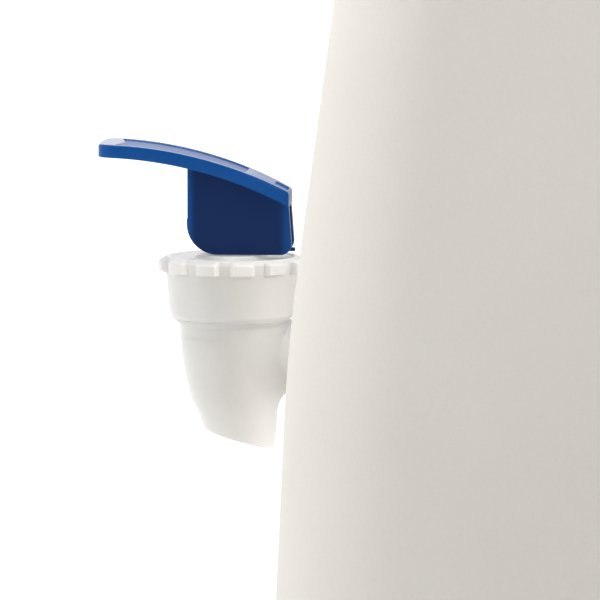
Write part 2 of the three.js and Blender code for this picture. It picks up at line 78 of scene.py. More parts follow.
# ---- The housing's walls, as in the CAD ----
LOWER_LEAN = math.radians(2.6)
UPPER_LEAN = math.radians(7.4)
BEND_LOW = 118
BEND_HIGH = 158
BASE_HALF = HOUSING_HIGH[0] + HOUSING_BOTTOM * math.tan(LOWER_LEAN)
BEND_RADIUS = (BEND_HIGH - BEND_LOW) / (math.sin(UPPER_LEAN) - math.sin(LOWER_LEAN))
CORNER_SHARE = 0.29
DECK_EDGE = 14
WALL = 3
SEAT_BEHIND = 22.3  # from the tap's axis back to its flat seat on the housing
SEAT_RADIUS = 18
SHANK_HEIGHT = 125.4
SHANK_HOLE_RADIUS = 9
NECK_RADIUS = 58


def half_width(z):
    """Half-width of the housing's outer faces at a height."""
    low = BASE_HALF - BEND_LOW * math.tan(LOWER_LEAN)
    if z <= BEND_LOW:
        return BASE_HALF - z * math.tan(LOWER_LEAN)
    centre_x = low - BEND_RADIUS * math.cos(LOWER_LEAN)
    centre_z = BEND_LOW - BEND_RADIUS * math.sin(LOWER_LEAN)
    on_arc = centre_x + math.sqrt(BEND_RADIUS**2 - (min(z, BEND_HIGH) - centre_z) ** 2)
    return on_arc - max(0, z - BEND_HIGH) * math.tan(UPPER_LEAN)


# ---- Mesh tools ----
def rounded(points, closed=False, steps=5):
    """A polyline of (x, z, corner radius) as plain points, with each corner turned into an arc."""
    count = len(points)
    result = []
    for i, (x, z, radius) in enumerate(points):
        corner = np.array([x, z], float)
        if not radius or (not closed and i in (0, count - 1)):
            result.append(corner)
            continue
        before = np.array(points[i - 1][:2], float) - corner
        after = np.array(points[(i + 1) % count][:2], float) - corner
        reach = min(np.linalg.norm(before), np.linalg.norm(after)) * 0.495
        before /= np.linalg.norm(before)
        after /= np.linalg.norm(after)
        half_angle = math.acos(np.clip(before @ after, -1, 1)) / 2
        back = min(radius / math.tan(half_angle), reach)
        radius = back * math.tan(half_angle)
        middle = before + after
        centre = corner + middle / np.linalg.norm(middle) * radius / math.sin(half_angle)
        start = corner + before * back - centre
        end = corner + after * back - centre
        sweep = math.acos(np.clip(start @ end / radius**2, -1, 1))
        for k in range(steps + 1):
            t = k / steps
            blend = (math.sin((1 - t) * sweep) * start + math.sin(t * sweep) * end) / math.sin(sweep)
            result.append(centre + blend)
    return result


def skin(rings, closed_rows=False, caps=(False, False)):
    """Vertices and faces of a grid of rings, each a closed loop with the same number of points."""
    rows, count = len(rings), len(rings[0])
    verts = np.concatenate([np.asarray(ring, float) for ring in rings])
    faces = []
    for j in range(rows if closed_rows else rows - 1):
        here, there = j * count, ((j + 1) % rows) * count
        for i in range(count):
            k = (i + 1) % count
            faces.append((here + i, here + k, there + k, there + i))
    if caps[0]:
        faces.append(tuple(range(count)))
    if caps[1]:
        faces.append(tuple(range((rows - 1) * count, rows * count)))
    return verts, faces


def placed(name, data):
    """A new object in the scene."""
    thing = bpy.data.objects.new(name, data)
    bpy.context.scene.collection.objects.link(thing)
    return thing


def make(name, verts, faces):
    """A closed mesh object, faces out, from points in millimetres."""
    mesh = bpy.data.meshes.new(name)
    mesh.from_pydata([tuple(v) for v in np.asarray(verts) * MM], [], faces)
    work = bmesh.new()
    work.from_mesh(mesh)
    bmesh.ops.remove_doubles(work, verts=work.verts, dist=1e-6)
    bmesh.ops.recalc_face_normals(work, faces=work.faces)
    work.to_mesh(mesh)
    work.free()
    return placed(name, mesh)


def full_turn(steps):
    """Angles once around, without the last."""
    return np.arange(steps) * 2 * math.pi / steps


def loop(x, y, z):
    """A ring of points from its coordinates, of which some may be single numbers."""
    return np.column_stack(np.broadcast_arrays(x, y, z))


def circle(radius, z, segments, centre_y=0):
    turn = full_turn(segments)
    return loop(radius * np.cos(turn), centre_y + radius * np.sin(turn), z)


def turned(name, profile, centre_y, segments=96, steps=5):
    """A solid of revolution about a vertical axis. The profile of (radius, height, corner radius)
    starts and ends on the axis, or is a ring's closed section."""
    closed = profile[0][0] > 0
    points = rounded(profile, closed, steps)
    rings = [circle(max(r, 0), z, segments, centre_y) for r, z in points]
    return make(name, *skin(rings, closed_rows=closed))


def applied(piece):
    """Applies the piece's modifiers."""
    graph = bpy.context.evaluated_depsgraph_get()
    mesh = bpy.data.meshes.new_from_object(piece.evaluated_get(graph))
    piece.modifiers.clear()
    old, piece.data = piece.data, mesh
    bpy.data.meshes.remove(old)
    return piece


def joined(piece, tool, operation="UNION"):
    """The piece with the tool joined to it. The tool is used up."""
    boolean = piece.modifiers.new("boolean", "BOOLEAN")
    boolean.operation = operation
    boolean.solver = "EXACT"
    boolean.object = tool
    bpy.context.view_layer.update()
    applied(piece)
    bpy.data.objects.remove(tool)
    return piece


def cut(piece, tool):
    """The piece with the tool cut from it. The tool is used up."""
    return joined(piece, tool, "DIFFERENCE")


def bevelled(piece, width, angle, segments):
    bevel = piece.modifiers.new("bevel", "BEVEL")
    bevel.width = width * MM
    bevel.segments = segments
    bevel.limit_method = "ANGLE"
    bevel.angle_limit = math.radians(angle)
    return applied(piece)


LOOKS = {}  # each material slot's material


def finished(piece, body, slot, node, angle=32):
    """Shades the piece, gives it its material, ties it to its body, and hides the CAD node that it
    stands for."""
    piece.data.shade_smooth()
    piece.data.set_sharp_from_angle(angle=math.radians(angle))
    piece.data.materials.clear()
    piece.data.materials.append(LOOKS[slot])
    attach(piece, body)
    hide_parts(node)


# ---- Materials ----
def linear(red, green, blue):
    """An sRGB colour, 0 to 255, as the linear RGBA that a shader takes."""
    def channel(value):
        value /= 255
        return value / 12.92 if value <= 0.04045 else ((value + 0.055) / 1.055) ** 2.4

    return channel(red), channel(green), channel(blue), 1.0


def tree_of(holder):
    """The shader nodes and links of a material or a world."""
    holder.use_nodes = True
    return holder.node_tree.nodes, holder.node_tree.links


def ramp(tree, value, start, end, low, high, shape="SMOOTHSTEP"):
    """A number that goes from low to high while the value goes from start to end."""
    nodes, links = tree
    node = nodes.new("ShaderNodeMapRange")
    node.interpolation_type = shape
    for socket, number in (("From Min", start), ("From Max", end), ("To Min", low), ("To Max", high)):
        node.inputs[socket].default_value = number
    links.new(value, node.inputs["Value"])
    return node.outputs["Result"]


def mixed(tree, share, first, second):
    """The first shader where the share is 0, and the second where it is 1."""
    nodes, links = tree
    node = nodes.new("ShaderNodeMixShader")
    for socket, value in zip(node.inputs, (share, first, second)):
        links.new(value, socket)
    return node.outputs["Shader"]


def plastic(slot, light, dark, roughness, peel, settings=(), scatter=(), blotch=14.0, spread=0.06):
    """A moulded material. Its colour drifts between two close tones, its surface carries layers of
    bump given as (size in mm, height in mm), and its roughness varies by spread. Light that scatters
    under its surface has a weight, a radius for each colour, and a scale in metres."""
    LOOKS[slot] = material = bpy.data.materials.new(slot)
    nodes, links = tree = tree_of(material)
    shader = nodes["Principled BSDF"]
    for socket, value in settings:
        shader.inputs[socket].default_value = value
    for part, value in zip(("Weight", "Radius", "Scale"), scatter):
        shader.inputs["Subsurface " + part].default_value = value
    place = nodes.new("ShaderNodeTexCoord").outputs["Object"]

    def noise(scale, detail, rough=0.5):
        node = nodes.new("ShaderNodeTexNoise")
        node.inputs["Scale"].default_value = scale
        node.inputs["Detail"].default_value = detail
        node.inputs["Roughness"].default_value = rough
        links.new(place, node.inputs["Vector"])
        return node.outputs["Fac"]

    tone = nodes.new("ShaderNodeValToRGB")
    for element, position, colour in zip(tone.color_ramp.elements, (0.3, 0.7), (dark, light)):
        element.position, element.color = position, colour
    links.new(noise(blotch, 4.0), tone.inputs["Fac"])

    speck = nodes.new("ShaderNodeMix")
    speck.data_type = "RGBA"
    speck.blend_type = "MULTIPLY"
    speck.inputs["B"].default_value = (0.97, 0.968, 0.964, 1)
    specks = ramp(tree, noise(1400, 2.0, 0.7), 0.45, 0.75, 0, 1, "LINEAR")
    links.new(specks, speck.inputs["Factor"])
    links.new(tone.outputs["Color"], speck.inputs["A"])
    links.new(speck.outputs["Result"], shader.inputs["Base Color"])

    gloss = ramp(tree, noise(90, 5.0, 0.6), 0, 1, roughness - spread, roughness + spread, "LINEAR")
    links.new(gloss, shader.inputs["Roughness"])

    normal = None
    for size, height in peel:
        bump = nodes.new("ShaderNodeBump")
        bump.inputs["Distance"].default_value = height * MM
        links.new(noise(1000 / size, 2.0), bump.inputs["Height"])
        if normal is not None:
            links.new(normal, bump.inputs["Normal"])
        normal = bump.outputs["Normal"]
    links.new(normal, shader.inputs["Normal"])


plastic(
    "housing_plastic", linear(234, 230, 224), linear(230, 226, 219), 0.58,
    [(22, 0.05), (1.6, 0.02), (0.55, 0.008)],
    [("IOR", 1.46), ("Specular IOR Level", 0.3)], (0.04, (1, 0.8, 0.6), 0.002),
)
plastic(
    "tap_plastic", linear(226, 224, 221), linear(221, 219, 216), 0.34,
    [(9, 0.03), (0.9, 0.002)],
    [("IOR", 1.45)], (0.9, (1, 0.97, 0.94), 0.005),
    blotch=60,
)
plastic(
    "lever_plastic", linear(6, 84, 162), linear(4, 79, 154), 0.11,
    [(7, 0.02), (0.9, 0.0012)],
    [("IOR", 1.45), ("Specular IOR Level", 0.21)],
    blotch=70, spread=0.04,
)
plastic(
    "silicone", linear(222, 220, 214), linear(212, 210, 203), 0.45,
    [(3, 0.02), (0.4, 0.003)],
    [("IOR", 1.41)], (0.3, (1, 0.9, 0.8), 0.002),
    blotch=80,
)
plastic(
    "bottle_plastic", linear(236, 237, 233), linear(228, 230, 226), 0.42,
    [(18, 0.12), (1.2, 0.012)],
    [("IOR", 1.5)], (0.2, (1, 1, 1), 0.003),
)
plastic(
    "base_plastic", linear(214, 211, 205), linear(206, 203, 197), 0.55,
    [(14, 0.05), (1.3, 0.03)],
    [("IOR", 1.46)],
)
plastic(
    "foot_rubber", linear(44, 44, 45), linear(33, 33, 34), 0.8,
    [(2.5, 0.03), (0.35, 0.01)],
    [("IOR", 1.45)],
    blotch=120,
)
plastic(
    "screw_steel", linear(196, 197, 199), linear(176, 177, 180), 0.32,
    [(1.2, 0.004), (0.25, 0.002)],
    [("Metallic", 1.0)],
    blotch=150, spread=0.1,
)


def painted_rear_glow(material, brightest):
    """Painted light: the material glows on faces that point to the rear, which the housing shades, and less
    on faces that point up, which the lever shades, in place of light through the translucent wall and bounce
    from the housing."""
    nodes, links = tree = tree_of(material)
    shader = nodes["Principled BSDF"]
    facing = nodes.new("ShaderNodeVectorMath")
    facing.operation = "DOT_PRODUCT"
    facing.inputs[1].default_value = (0, 1, 0.5)
    links.new(nodes.new("ShaderNodeNewGeometry").outputs["Normal"], facing.inputs[0])
    shader.inputs["Emission Color"].default_value = linear(252, 252, 252)
    # painted light: emission strength set by which way the face points
    glow = ramp(tree, facing.outputs["Value"], -0.3, 1, 0, brightest)
    links.new(glow, shader.inputs["Emission Strength"])


# strength of the painted glow on the tap plastic
TAP_PAINTED_GLOW = 0.28
painted_rear_glow(LOOKS["tap_plastic"], TAP_PAINTED_GLOW)
LOOKS["spring_steel"] = LOOKS["screw_steel"]


# ---- Housing and bottle ----
def unit_square(corner_steps=14, side_steps=14):
    """The outline of a rounded square of half-width 1, as evenly spread points."""
    straight = 1 - CORNER_SHARE
    points = []
    for quarter in range(4):
        start = quarter * math.pi / 2
        centre = straight * np.sign([math.cos(start + math.pi / 4), math.sin(start + math.pi / 4)])
        for k in range(corner_steps + 1):
            angle = start + math.pi / 2 * k / corner_steps
            points.append(centre + CORNER_SHARE * np.array([math.cos(angle), math.sin(angle)]))
        along = np.array([-math.sin(start + math.pi / 2), math.cos(start + math.pi / 2)])
        last = points[-1]
        points += [last + along * 2 * straight * k / side_steps for k in range(1, side_steps)]
    return np.array(points)


SQUARE = unit_square()
ROUND = SQUARE / np.linalg.norm(SQUARE, axis=1)[:, None]


def section(half, z, roundness=0):
    """A level ring about the housing's axis, from rounded square (0) to circle (1)."""
    flat = ((1 - roundness) * SQUARE + roundness * ROUND) * half
    return loop(flat[:, 0], flat[:, 1] + BODY_Y, z)


def wall_heights(low, high):
    """Heights up a wall, closer together in the bend."""
    levels = np.concatenate([
        np.linspace(low, BEND_LOW, 10),
        np.linspace(BEND_LOW, BEND_HIGH, 13),
        np.linspace(BEND_HIGH, high, 14),
    ])
    return np.unique(levels[(levels >= low) & (levels <= high)])


def edge_arc(inset, top, radius, steps=9):
    """The rounded edge between a wall and a level top, from the wall inwards."""
    centre_z = top - radius
    centre_x = half_width(centre_z) - inset - radius / math.cos(UPPER_LEAN)
    angles = np.linspace(UPPER_LEAN, math.pi / 2, steps)
    return [(centre_x + radius * math.cos(a), centre_z + radius * math.sin(a), 0) for a in angles]


def wall(inset, bottom, top, radius):
    """A wall's profile, from its foot to the inner end of its rounded top edge."""
    arc = edge_arc(inset, top, radius)
    return [(half_width(z) - inset, z, 0) for z in wall_heights(bottom, arc[0][1] - 1)] + arc


def shell(outer, inner, hole_radius):
    """A walled body: up the outer profile, over to a round hole, and back down the inner one."""
    flat_half = min(outer[-1][0], inner[-1][0])
    hole = [(hole_radius, outer[-1][1], 0.8), (hole_radius, inner[-1][1], 0.4)]
    across = np.linspace(flat_half, hole_radius, 7)[1:-1]
    over = [(half, outer[-1][1], 0) for half in across]
    under = [(half, inner[-1][1], 0) for half in across[::-1]]
    outline = rounded(outer + over + hole + under + inner[::-1], closed=True)
    rings = []
    for half, z in outline:
        roundness = np.clip((flat_half - half) / (flat_half - hole_radius), 0, 1)
        rings.append(section(half, z, roundness))
    return rings


def lying(name, profile, segments=64, closed=False):
    """A solid of revolution about the shank's axis. The profile is (radius, distance behind the tap's
    axis, corner radius)."""
    turn = full_turn(segments)
    rings = [loop(radius * np.cos(turn), TAP_Y + behind, SHANK_HEIGHT + radius * np.sin(turn))
             for radius, behind in rounded(profile, closed)]
    return make(name, *skin(rings, closed_rows=closed))


def rod(radius, start, end, rounding=0):
    return lying("tool", [(0, start, 0), (radius, start, 0), (radius, end, rounding), (0, end, 0)])


CORNERS = {"front_left": (-1, -1), "front_right": (1, -1), "rear_left": (-1, 1), "rear_right": (1, 1)}
SCREW_OFFSET = 102
COLUMN_OFFSET = 60
FOOT_OFFSET = 80
PILOT_RADIUS = 2.3


def posts(radius, low, high, offset):
    """Four upright cylinders in one mesh, one near each corner."""
    verts, faces = [], []
    for x, y in CORNERS.values():
        more, quads = skin([circle(radius, low, 24), circle(radius, high, 24)], caps=(True, True))
        faces += [tuple(i + len(verts) * len(more) for i in face) for face in quads]
        verts.append(more + np.array([x * offset, BODY_Y + y * offset, 0]))
    return make("tool", np.concatenate(verts), faces)


def make_housing():
    outer = wall(0, HOUSING_BOTTOM, DECK_TOP, DECK_EDGE)
    inner = wall(WALL, HOUSING_BOTTOM, DECK_TOP - WALL, DECK_EDGE - WALL)
    for profile in (outer, inner):
        profile[0] = (*profile[0][:2], 1.2)
    rings = shell(outer, inner, NECK_RADIUS + 0.6)
    housing = make("housing_shell", *skin(rings, closed_rows=True))
    joined(housing, rod(SEAT_RADIUS + 2, SEAT_BEHIND - 0.8, SEAT_BEHIND + 4.5, 0.8))
    cut(housing, rod(SEAT_RADIUS, SEAT_BEHIND - 15, SEAT_BEHIND, 0.8))
    cut(housing, rod(SHANK_HOLE_RADIUS, SEAT_BEHIND - 15, SEAT_BEHIND + 12))
    joined(housing, posts(6, 9.3, 40, SCREW_OFFSET))
    cut(housing, posts(PILOT_RADIUS, 8, 28, SCREW_OFFSET))
    finished(housing, "dispenser", "housing_plastic", "housing")


def make_bottle():
    inset, thickness, shoulder = 8, 2.5, 326.4
    outer = wall(inset, BOTTLE_FLOOR, shoulder, 12)
    inner = wall(inset + thickness, BOTTLE_FLOOR + thickness, shoulder - thickness, 9.5)
    neck_inner = NECK_RADIUS - 2.8
    flat_half = min(outer[-1][0], inner[-1][0])
    across = np.linspace(flat_half, NECK_RADIUS + 1, 6)[1:-1]
    over = [(half, shoulder, 0) for half in across]
    under = [(half, shoulder - thickness, 0) for half in across[::-1]]
    neck = [(NECK_RADIUS, shoulder, 1.2), (NECK_RADIUS, NECK_TOP, 0.9)]
    bore = [(neck_inner, NECK_TOP, 0.9), (neck_inner, shoulder - thickness, 1.5)]
    floor_outer = [(0, BOTTLE_FLOOR, 0), (outer[0][0], BOTTLE_FLOOR, 8)]
    floor_inner = [(inner[0][0], BOTTLE_FLOOR + thickness, 5.5), (0, BOTTLE_FLOOR + thickness, 0)]
    path = floor_outer + outer[2:] + over + neck + bore + under + inner[:1:-1] + floor_inner
    rings = []
    for half, z in rounded(path):
        roundness = np.clip((flat_half - half) / (flat_half - NECK_RADIUS), 0, 1) if z > 300 else 0
        rings.append(section(half, z, roundness))
    bottle = make("reservoir_bottle", *skin(rings))
    pad_front = SEAT_BEHIND + 4.8
    joined(bottle, rod(SEAT_RADIUS, pad_front, pad_front + 5.6, 0.8))
    cut(bottle, rod(SHANK_HOLE_RADIUS, pad_front - 5, pad_front + 12))
    finished(bottle, "dispenser", "bottle_plastic", "reservoir")


# ---- Lid, collar, knob and vent ----
def make_collar():
    """Ring nut on the neck, with shallow grip flutes around its edge."""
    low, high = heights("neck_collar")
    flutes = 36
    turn = full_turn(flutes * 12)
    wave = (0.5 + 0.5 * np.cos(turn * flutes)) ** 3
    bore, outside = 58.4, 66
    rings = []
    for radius, z in rounded(
        [(bore, low, 0.3), (outside, low, 0.5), (outside, high - 0.9, 0.6), (outside - 1.1, high, 0.7),
         (bore, high, 0.5)],
        closed=True,
    ):
        r = radius - 0.9 * wave * (radius > outside - 0.8)
        rings.append(loop(r * np.cos(turn), BODY_Y + r * np.sin(turn), z))
    collar = make("neck_ring_nut", *skin(rings, closed_rows=True))
    finished(collar, "dispenser", "housing_plastic", "neck_collar")


LID_TOP = 347
VENT_Y = BODY_Y + 34
VENT_BOSS_TOP = 348


def make_lid():
    profile = [
        (2.4, LID_TOP, 0.3), (2.4, 343, 0.3), (51.5, 341, 2), (51.5, 330, 0.9), (54, 330, 0.9),
        (54, 340.3, 0.6), (59, 340.3, 0.6), (59, 335.4, 0.6), (62, 335.4, 0.9), (62, 343.4, 2.6),
        (32, 345.9, 60), (12, 347, 20),
    ]
    lid = turned("lid_cover", profile, BODY_Y, 160)
    boss = turned("tool", [(0, 342.5, 0), (8.5, 342.5, 0), (8.5, VENT_BOSS_TOP, 0.8),
                           (0, VENT_BOSS_TOP, 0)], VENT_Y, 48)
    hole = turned("tool", [(0, 335, 0), (3.3, 335, 0), (3.3, 350, 0), (0, 350, 0)], VENT_Y, 40)
    joined(lid, boss)
    cut(lid, hole)
    finished(lid, "lid", "housing_plastic", "lid")

    knob = turned(
        "lid_grip",
        [(0, 359, 0), (2.3, 359, 0), (2.3, 347.3, 0.3), (9.5, 347.3, 0.5), (7.4, 352, 6),
         (13.5, 359.5, 7), (16, 363, 2.6), (13.6, 367.6, 5), (6, 369, 30), (0, 369, 0)],
        BODY_Y, 96, 8,
    )
    finished(knob, "lid", "housing_plastic", "lid_knob")

    base = VENT_BOSS_TOP + 0.3
    plug = turned(
        "vent_button",
        [(0, 338, 0), (2.2, 338, 0.4), (2.9, 339, 0.6), (2.9, base, 0.3), (6, base, 0.4),
         (6.8, base + 1, 0.6), (6.8, base + 3, 0.8), (5.6, base + 4.2, 1), (3.6, base + 4.2, 0.5),
         (2.6, base + 3.4, 0.6), (0, base + 3.4, 0)],
        VENT_Y, 64,
    )
    finished(plug, "vent", "tap_plastic", "vent_plug")

    low, high = heights("lid_gasket")
    gasket = turned(
        "lid_seal", [(54.4, low, 0.5), (58, low, 0.5), (58, high, 0.5), (54.4, high, 0.5)], BODY_Y, 128
    )
    finished(gasket, "lid", "silicone", "lid_gasket")


# ---- Tap body ----
BARREL_TOP = 144.7
SEAM = NUT_BOTTOM - 0.3
BARREL_RADIUS = 15
FLANGE_FRONT = 17.6
SHANK_RADIUS = 7.8
SHANK_END = 44
ARM_RADIUS = 9.5
ARM_RISE = 1.2
SPOUT_FRONT = [(-14.5, 134), (-14.1, 127), (-12.2, 116.5), (-9.7, 110), (-7.8, 105.4)]
SPOUT_REAR = [(14.5, 134), (14, 126.5), (13.2, 115.5), (12.6, 107), (11.9, 100)]


def spline(points, share):
    """A uniform Catmull-Rom curve through the points."""
    last = len(points) - 1
    place = min(max(share, 0), 1) * last
    i = min(int(place), last - 1)
    t = place - i
    a, b, c, d = (np.array(points[min(max(k, 0), last)], float) for k in (i - 1, i, i + 1, i + 2))
    into, out = (c - a) / 2, (d - b) / 2
    return (2 * b - 2 * c + into + out) * t**3 + (-3 * b + 3 * c - 2 * into - out) * t**2 + into * t + b


def spout_ring(share, inset, segments):
    """A slanting ring of the spout, from its front edge to its rear edge."""
    front, rear = spline(SPOUT_FRONT, share), spline(SPOUT_REAR, share)
    beyond = max(share - 1, 0)
    front = front + (front - spline(SPOUT_FRONT, 0.96)) / 0.04 * beyond
    rear = rear + (rear - spline(SPOUT_REAR, 0.96)) / 0.04 * beyond
    middle, half = (front + rear) / 2, (rear - front) / 2
    span = half[0] - inset
    turn = full_turn(segments)
    y = middle[0] + span * np.sin(turn)
    z = middle[1] + half[1] / half[0] * span * np.sin(turn)
    return loop(span * np.cos(turn), y + TAP_Y, z)


def spout_rear(x, z):
    """How far behind the tap's axis the spout's surface is, at a place across it and a height."""
    shares = np.linspace(0, 1, 21)
    front = np.array([spline(SPOUT_FRONT, share) for share in shares])[::-1]
    rear = np.array([spline(SPOUT_REAR, share) for share in shares])[::-1]
    near = np.interp(z, rear[:, 1], rear[:, 0])
    far = np.interp(z, front[:, 1], front[:, 0])
    half = (near - far) / 2
    return (near + far) / 2 + np.sqrt(np.maximum(half**2 - x**2, 1))


def make_shank():
    """The arm that runs from the barrel through the housing: a fillet that is deeper below than
    above, a flange outside the housing, and a thread."""
    turn = full_turn(72)
    below = ((1 - np.sin(turn)) / 2) ** 1.5
    flare = 2.8 + 3.7 * below
    widest = 0.1 + 8 * (1 - soft((np.sin(turn) - 0.1) / 0.9))
    middle = SHANK_HEIGHT + ARM_RISE
    rings = []
    for a in np.linspace(0, math.pi / 2, 9):
        radius = ARM_RADIUS + np.minimum(flare, widest) * (1 - math.sin(a))
        x, z = radius * np.cos(turn), middle + radius * np.sin(turn)
        y = spout_rear(x, z) + flare * (1 - math.cos(a))
        if not rings:
            rings.append(loop(x * 0.9, TAP_Y + y - 4, middle + (z - middle) * 0.9))
        rings.append(loop(x, TAP_Y + np.minimum(y, FLANGE_FRONT - 0.3 + 0.02 * a), z))
    flange, flange_rear = 12, FLANGE_FRONT + 2.4
    outline = rounded(
        [(SHANK_RADIUS, FLANGE_FRONT - 0.1, 0), (SHANK_RADIUS + 0.05, FLANGE_FRONT, 0),
         (flange, FLANGE_FRONT, 0.5), (flange, flange_rear, 0.5), (SHANK_RADIUS, flange_rear, 0.3)],
    )
    outline.append(np.array([SHANK_RADIUS, FLANGE_FRONT + 3.6]))
    pitch, depth = 1.6, 0.45
    for k in range(int((SHANK_END - FLANGE_FRONT - 6) / pitch)):
        base = FLANGE_FRONT + 4.4 + k * pitch
        for offset, drop in ((0, 0), (0.45, 0), (0.85, depth), (1.15, depth)):
            outline.append(np.array([SHANK_RADIUS - drop, base + offset]))
    outline += [np.array([SHANK_RADIUS, SHANK_END - 1]), np.array([SHANK_RADIUS - 0.6, SHANK_END])]
    for radius, behind in outline:
        rings.append(loop(radius * np.cos(turn), TAP_Y + behind, SHANK_HEIGHT + radius * np.sin(turn)))
    return make("tool", *skin(rings, caps=(True, True)))


def make_tap_body():
    segments = 96
    barrel = rounded(
        [(12, BARREL_TOP, 0), (BARREL_RADIUS, BARREL_TOP, 0.4), (BARREL_RADIUS, SEAM, 0.1),
         (16.55, SEAM, 0.12), (14.6, 134.7, 1.2), (14.46, 131.4, 0)],
    )
    rings = [circle(radius, z, segments, TAP_Y) for radius, z in barrel]
    rings += [spout_ring(share, 0, segments) for share in np.linspace(0.11, 0.965, 26)]
    lip = [(0.985, 0.04), (0.997, 0.2), (1.003, 0.45), (1.004, 0.9), (1.003, 1.35), (0.997, 1.6),
           (0.985, 1.76)]
    rings += [spout_ring(share, inset, segments) for share, inset in lip]
    rings += [spout_ring(share, 1.8, segments) for share in np.linspace(0.965, 0.62, 12)]
    seat = rounded(
        [(6, 113.2, 0), (6, 118.5, 0.4), (7.2, 118.5, 0.4), (7.4, 117, 0.3), (10.6, 117, 0.5),
         (10.6, BARREL_TOP, 0.35), (BARREL_RADIUS, BARREL_TOP, 0)],
        steps=4,
    )[:-1]
    rings += [circle(radius, z, segments, TAP_Y) for radius, z in seat]
    body = make("tap_shell", *skin(rings, closed_rows=True))

    joined(body, make_shank())
    cut(body, rod(5.2, 6, SHANK_END + 2))
    finished(body, "dispenser", "tap_plastic", "tap_body", angle=38)


# ---- Collar nut ----
LUG_COUNT = 12
LUG_PHASE = math.radians(13)
LUG_RADIUS = 20.7
LUG_HALF_WIDTH = 3.35
NUT_BORE = 15.3
NUT_ROOF = 150
STEM_BORE = 3.5
LUG_LOW = NUT_TOP - 4.3
LUG_HIGH = NUT_TOP - 0.25


def soft(x):
    """An eased step from 0 to 1."""
    x = np.clip(x, 0, 1)
    return x * x * (3 - 2 * x)


def make_nut():
    """The outside is a polar grid. Its radius is the nut's profile, or a lug's face where that is
    further out."""
    steps = np.concatenate([
        np.linspace(0, 0.5, 5)[:-1],
        np.linspace(0.5, 0.72, 9),
        np.linspace(0.72, 1, 5)[1:-1],
    ])
    pitch = math.pi / LUG_COUNT
    turns = [0] + [side * share for side in (-1, 1) for share in steps[1:]] + [1]
    angles = np.sort([LUG_PHASE + (2 * lug + turn) * pitch for lug in range(LUG_COUNT) for turn in turns])
    nearest = LUG_PHASE + np.round((angles - LUG_PHASE) / (2 * pitch)) * 2 * pitch
    sideways = np.abs(19.5 * np.sin(angles - nearest))
    across = soft((LUG_HALF_WIDTH + 0.35 - sideways) / 1.3)
    profile = rounded(
        [(STEM_BORE, PAD_TOP, 0.3), (9.6, PAD_TOP, 0.35), (10.4, NUT_TOP - 0.5, 0.35),
         (17, NUT_TOP - 0.5, 0.3), (17.4, NUT_TOP, 0.3), (18.6, NUT_TOP, 0.45), (18.95, 152.6, 0.8),
         (18.8, 150.2, 1), (18.35, 148.8, 1.2), (17.45, 137.7, 0.8), (16.65, SEAM + 0.12, 0.12),
         (NUT_BORE, SEAM + 0.12, 0.1), (NUT_BORE, NUT_ROOF, 0.4), (STEM_BORE, NUT_ROOF, 0.3)],
        closed=True, steps=4,
    )
    outer_low, outer_high = SEAM + 1.2, NUT_TOP - 0.1
    points = []
    for index, (radius, z) in enumerate(profile):
        points.append((radius, z))
        after = profile[(index + 1) % len(profile)]
        if min(radius, after[0]) > 17.5 and abs(z - after[1]) > 0.8:
            count = int(abs(z - after[1]) / 0.3)
            for k in range(1, count):
                share = k / count
                points.append((radius + (after[0] - radius) * share, z + (after[1] - z) * share))
    rings = []
    for radius, z in points:
        rise = soft((z - LUG_LOW + 0.15) / 0.6) * soft((LUG_HIGH + 0.2 - z) / 1.3)
        r = np.full(len(angles), radius)
        if radius > 17.6 and outer_low < z < outer_high:
            face = np.sqrt(LUG_RADIUS**2 - 0.15 * sideways**2)
            r = r + (face - radius) * across * rise
        rings.append(loop(r * np.cos(angles), TAP_Y + r * np.sin(angles), z))
    nut = make("collar_nut", *skin(rings, closed_rows=True))

    # A moulding gate mark on the top face, in front of the lever.
    gate = turned("tool", [(0, NUT_TOP - 0.75, 0), (1.5, NUT_TOP - 0.75, 0.2), (1.9, NUT_TOP + 1, 0),
                           (0, NUT_TOP + 1, 0)], 0, 32)
    gate.location = (0.0078, (TAP_Y - 11.2) * MM, 0)
    cut(nut, gate)
    finished(nut, "dispenser", "tap_plastic", "bonnet_nut", angle=38)


